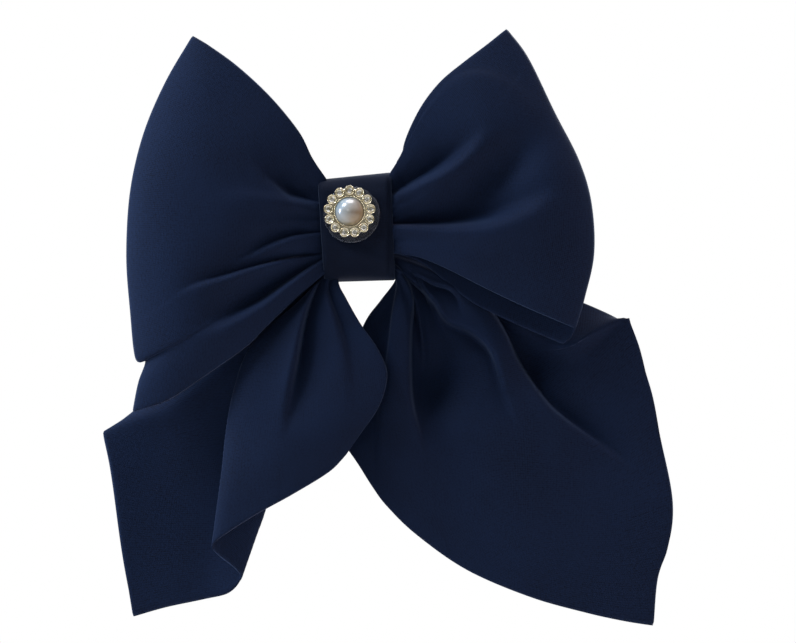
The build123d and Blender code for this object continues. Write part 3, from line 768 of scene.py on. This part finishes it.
def copy_of(obj, name):
    """A second object with its own mesh."""
    made = obj.copy()
    made.data = obj.data.copy()
    made.name = name
    bpy.context.scene.collection.objects.link(made)
    return made


def join(pieces, name):
    """Make one object of several, under a new name."""
    clear_selection()
    for piece in pieces:
        piece.select_set(True)
    bpy.context.view_layer.objects.active = pieces[0]
    bpy.ops.object.join()
    pieces[0].name = name
    return pieces[0]


def smooth(obj, angle):
    """Shade an object smooth except across edges sharper than angle degrees."""
    clear_selection()
    obj.select_set(True)
    bpy.context.view_layer.objects.active = obj
    bpy.ops.object.shade_smooth_by_angle(angle=radians(angle))


CUP_RADIUS = 1.7
CUP_HEIGHT = 1.5
CUP_WALL = 0.26
CUP_DEPTH = 1.1
CLAW_COUNT = 4
CLAW_SIZE = 0.34
STONE_COUNT = 13
STONE_RING = 7.2              # from the pearl's middle to each stone's
STONE_RADIUS = 1.38
STONE_SIDES = 10
GIRDLE_LOW = 0.66             # from the cup's foot to the girdle
GIRDLE_HEIGHT = 0.14
STONE_TURN = 2.3              # a stone's turn for each turn round the ring
PEARL_RADIUS = 4.85
PEARL_HEIGHT = 4.6
BEZEL_RADIUS = 5.35
BEZEL_HEIGHT = 1.0
BEAD_COUNT = 64
BEAD_RADIUS = 0.23
GLUE_RADIUS = 9.6
GLUE_HEIGHT = 0.8
GLUE_RIM = (1.0, 1.015, 0.985, 0.96, 0.97, 1.0, 1.02, 1.01)    # how far each eighth of the rim has run out
GLUE_TURN = -0.9


def make_cup():
    """A drawn metal cup with a rolled lip and four claws bent over the stone."""
    cup = start_cylinder(CUP_RADIUS, CUP_HEIGHT, 28)
    edit(cup, faces=is_front)
    bpy.ops.mesh.inset(thickness=CUP_WALL * MM)
    bpy.ops.mesh.extrude_region_move(TRANSFORM_OT_translate={"value": (0, 0, -CUP_DEPTH * MM)})
    bpy.ops.transform.resize(value=(0.72, 0.72, 1), center_override=(0, 0, 0))
    top = CUP_HEIGHT * MM * 0.99
    edit(cup, edges=lambda a, b: min(a.z, b.z) > top)
    bpy.ops.mesh.bevel(offset=0.1 * MM, segments=2)
    edit(cup, verts=lambda co: co.z > top * 0.5)
    bpy.ops.transform.resize(value=(0.95, 0.95, 1), center_override=(0, 0, 0))
    leave_edit()
    claws = []
    for k in range(CLAW_COUNT):
        clear_selection()
        bpy.ops.mesh.primitive_cube_add(size=CLAW_SIZE * MM,
                                        location=((CUP_RADIUS - 0.3) * MM, 0, CUP_HEIGHT * MM))
        claw = bpy.context.object
        bpy.ops.object.transform_apply(location=True, rotation=True, scale=True)
        edit(claw, faces=is_front)
        bpy.ops.mesh.extrude_region_move(TRANSFORM_OT_translate={"value": (-0.16 * MM, 0, 0.12 * MM)})
        bpy.ops.transform.resize(value=(0.6, 0.6, 1), center_override=((CUP_RADIUS - 0.45) * MM, 0, 0))
        edit(claw, edges=lambda a, b: True)
        bpy.ops.mesh.bevel(offset=0.05 * MM, segments=1)
        leave_edit()
        claw.data.transform(Matrix.Rotation(pi / 4 + k * 2 * pi / CLAW_COUNT, 4, "Z"))
        claws.append(claw)
    cup = join([cup, *claws], "cup")
    smooth(cup, 40)
    return cup


def make_stone():
    """A round cut stone: a flat table, two rows of sloping facets, a narrow girdle and a pointed back."""
    stone = start_cylinder(STONE_RADIUS, GIRDLE_HEIGHT, STONE_SIDES, low=GIRDLE_LOW)
    edit(stone, faces=is_front)
    bpy.ops.mesh.extrude_region_move(TRANSFORM_OT_translate={"value": (0, 0, 0.26 * MM)})
    bpy.ops.transform.resize(value=(0.76, 0.76, 1), center_override=(0, 0, 0))
    bpy.ops.mesh.extrude_region_move(TRANSFORM_OT_translate={"value": (0, 0, 0.2 * MM)})
    bpy.ops.transform.resize(value=(0.6, 0.6, 1), center_override=(0, 0, 0))
    # every second corner of the crown's middle ring is raised, which breaks it into facets
    corner = 2 * pi / STONE_SIDES
    edit(stone, verts=lambda co: 1.0 * MM < co.z < 1.15 * MM and round(atan2(co.y, co.x) / corner) % 2 == 0)
    bpy.ops.transform.translate(value=(0, 0, 0.12 * MM))
    edit(stone, faces=lambda face: face.normal.z < -0.9)
    bpy.ops.mesh.extrude_region_move(TRANSFORM_OT_translate={"value": (0, 0, -0.6 * MM)})
    bpy.ops.transform.resize(value=(0.1, 0.1, 1), center_override=(0, 0, 0))
    edit(stone, faces=lambda face: abs(face.normal.z) < 0.95)
    bpy.ops.mesh.quads_convert_to_tris()
    leave_edit()
    return stone


def make_pearl():
    """A half bead: a ball cut at its back, lower than it is wide, with its edge rounded under."""
    clear_selection()
    bpy.ops.mesh.primitive_uv_sphere_add(segments=64, ring_count=40, radius=PEARL_RADIUS * MM)
    pearl = bpy.context.object
    edit(pearl, verts=lambda co: True)
    bpy.ops.transform.resize(value=(1, 1, PEARL_HEIGHT / PEARL_RADIUS), center_override=(0, 0, 0))
    bpy.ops.mesh.bisect(plane_co=(0, 0, 0.02 * MM), plane_no=(0, 0, 1), clear_inner=True, use_fill=True)
    leave_edit()
    smooth(pearl, 50)
    return pearl


def make_bezel():
    """A thin collar round the pearl, its lip pressed into small beads."""
    wall = start_cylinder(BEZEL_RADIUS, BEZEL_HEIGHT, 96)
    edit(wall, faces=lambda face: abs(face.normal.z) > 0.9)
    bpy.ops.mesh.inset(thickness=0.5 * MM)
    bpy.ops.mesh.bridge_edge_loops()
    top = BEZEL_HEIGHT * MM * 0.99
    edit(wall, edges=lambda a, b: min(a.z, b.z) > top and abs(a.length - b.length) < 1e-6)
    bpy.ops.mesh.bevel(offset=0.12 * MM, segments=2)
    leave_edit()
    clear_selection()
    bpy.ops.mesh.primitive_uv_sphere_add(segments=8, ring_count=6, radius=BEAD_RADIUS * MM,
                                         location=((BEZEL_RADIUS - 0.25) * MM, 0, BEZEL_HEIGHT * MM))
    bead = bpy.context.object
    bpy.ops.object.transform_apply(location=True, rotation=True, scale=True)
    beads = [wall]
    for k in range(1, BEAD_COUNT):
        turned = copy_of(bead, "bead")
        turned.data.transform(Matrix.Rotation(2 * pi * k / BEAD_COUNT, 4, "Z"))
        beads.append(turned)
    beads.append(bead)
    bezel = join(beads, "bezel")
    smooth(bezel, 45)
    return bezel


def make_glue_pad():
    """A squeezed-out disc of glue with a rounded, uneven rim."""
    pad = start_cylinder(GLUE_RADIUS, GLUE_HEIGHT, 72)
    for k, push in enumerate(GLUE_RIM):
        low, high = 2 * pi * k / len(GLUE_RIM), 2 * pi * (k + 1) / len(GLUE_RIM)
        edit(pad, verts=lambda co: low <= round_about(co) < high)
        bpy.ops.transform.resize(value=(push, push, 1), center_override=(0, 0, 0))
    edit(pad, edges=lambda a, b: min(a.z, b.z) > GLUE_HEIGHT * MM * 0.99)
    bpy.ops.mesh.bevel(offset=0.45 * MM, segments=4)
    edit(pad, faces=lambda face: is_front(face) and face.area > 1e-5)
    bpy.ops.mesh.inset(thickness=1.0 * MM)
    bpy.ops.transform.translate(value=(0, 0, -0.1 * MM))
    leave_edit()
    smooth(pad, 60)
    return pad


# --- build ------------------------------------------------------------------------------------------

make_camera()
make_world()
make_floor()
# places in metres, powers in watts
make_light("key", (-0.5, -0.3, 0.62), (0, 0, -0.03), 0.3, 5.2, "#e4edff")
make_sky(1.85, "#fcf5fb")
make_light("left", (-0.5, -0.07, 0.04), (0, -0.01, -0.05), 0.2, 2.3, "#d2e6ff")
make_light("right", (0.5, -0.1, 0.1), (0, -0.01, -0.05), 0.2, 1.4, "#ffc2b2", mirrored=False)
make_light("low", (0.06, -0.12, -0.48), (0, -0.01, -0.08), 0.3, 0.2, "#f2eeff")
make_light("front", (-0.16, -0.95, 0.16), (0, 0, 0), 0.1, 0.35, "#ffffff")
make_light("back", (0.5, 1.2, 0.7), (0, 0, -0.03), 0.9, 9.0, "#ffffff")

crepe = make_crepe("navy_crepe", "#0a0f1c", "#132038")
# the band is the same crepe with its colours painted a shade darker, as painted shade for the shade it sits
# in
shaded_band_crepe = make_crepe("navy_crepe_painted_shade", "#060a15", "#0b1425")


def dress(obj, node, material=crepe):
    """Give a cloth piece its material, hang it on the bow and hide the CAD node it replaces."""
    obj.data.materials.append(material)
    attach(obj, "bow")
    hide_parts(node)


left_loop, _ = make_loop("left_loop_cloth", LEFT_LOOP_RIBS, LEFT_LOOP_CREASES, -1, 1)
dress(left_loop, "left_loop")
right_loop, _ = make_loop("right_loop_cloth", RIGHT_LOOP_RIBS, RIGHT_LOOP_CREASES, 1, 2,
                          hollows=RIGHT_LOOP_HOLLOWS, drop=7.0)
dress(right_loop, "right_loop")
left_tail, _ = make_tail("left_tail_cloth", LEFT_TAIL_RIBS, LEFT_TAIL_CREASES, 3, 230, 130, front_from=0.6)
dress(left_tail, "left_tail")
right_tail, _ = make_tail("right_tail_cloth", RIGHT_TAIL_RIBS, RIGHT_TAIL_CREASES, 4, 200, 150,
                          hollows=RIGHT_TAIL_HOLLOWS)
dress(right_tail, "right_tail")
band, band_size = make_band()
dress(band, "knot_band", material=shaded_band_crepe)


def middle(node):
    """The middle of a CAD node's box, in mm."""
    low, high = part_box(node)
    return [(low[k] + high[k]) / 2 / MM for k in range(3)]


def finish(obj, material, node):
    """Give a hard piece its material, hang it on the bow and hide the CAD node it stands for."""
    obj.data.materials.clear()
    obj.data.materials.append(material)
    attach(obj, "bow")
    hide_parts(node)


button_x, _, button_z = middle("button_base")
button_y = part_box("button_base")[0][1] / MM       # front of the base
pearl_x, _, pearl_z = middle("half_pearl")
pearl_along = pearl_x * cos(PAINTED_REFLECTION_TILT) - pearl_z * sin(PAINTED_REFLECTION_TILT)

gold = make_metal("pale_gold_plating", "#c4b894", "#f4ecd2", roughness=0.14, grain=0.6, stretch=(1, 1, 1))
# the clip's strips were rolled lengthwise, along X
nickel = make_metal("nickel_plated_steel", "#aeb0b3", "#c9cacc", roughness=0.24, grain=0.2,
                    stretch=(0.05, 1, 1))
spring = make_metal("tempered_spring_steel", "#72757b", "#8d9299", roughness=0.32, grain=0.2,
                    stretch=(0.05, 1, 1))
crystal = make_crystal()
nacre = make_nacre((pearl_along - PEARL_RADIUS) * MM, (pearl_along + PEARL_RADIUS) * MM)
glue = make_glue()
thread = make_thread()

cup = make_cup()
stone = make_stone()
cups, stones = [], []
for k in range(STONE_COUNT):
    angle = pi / 2 + 2 * pi * k / STONE_COUNT
    x, z = button_x + STONE_RING * cos(angle), button_z + STONE_RING * sin(angle)
    # each cup's claws follow the ring, and each stone sits at a turn of its own
    for made, pattern, turn in ((cups, cup, angle), (stones, stone, angle * STONE_TURN)):
        piece = copy_of(pattern, "copy")
        put(piece, x, button_y, z, turn)
        made.append(piece)
for pattern in (cup, stone):
    bpy.data.objects.remove(pattern)
finish(join(cups, "claw_cups"), gold, "stone_cups")
finish(join(stones, "cut_stones"), crystal, "rhinestones")

pearl = make_pearl()
pearl.name = "half_pearl_bead"
put(pearl, button_x, button_y, button_z)
finish(pearl, nacre, "half_pearl")
bezel = make_bezel()
bezel.name = "beaded_bezel"
put(bezel, button_x, button_y, button_z)
finish(bezel, gold, "pearl_bezel")

pad = make_glue_pad()
pad.name = "glue_disc"
pad_x, _, pad_z = middle("glue_pad")
put(pad, pad_x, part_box("glue_pad")[1][1] / MM, pad_z, turn=GLUE_TURN)
finish(pad, glue, "glue_pad")

for names, material in (
    (["button_base"], gold),
    (["gathering_thread", "band_stitches"], thread),
    (["barrette_plate", "clip_arm", "catch_saddle", "catch_prong_upper", "catch_prong_lower", "catch_rivet",
      "hinge_pin"], nickel),
    (["tension_spring"], spring),
):
    for name in names:
        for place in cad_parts[name].material_slots:
            place.material = material
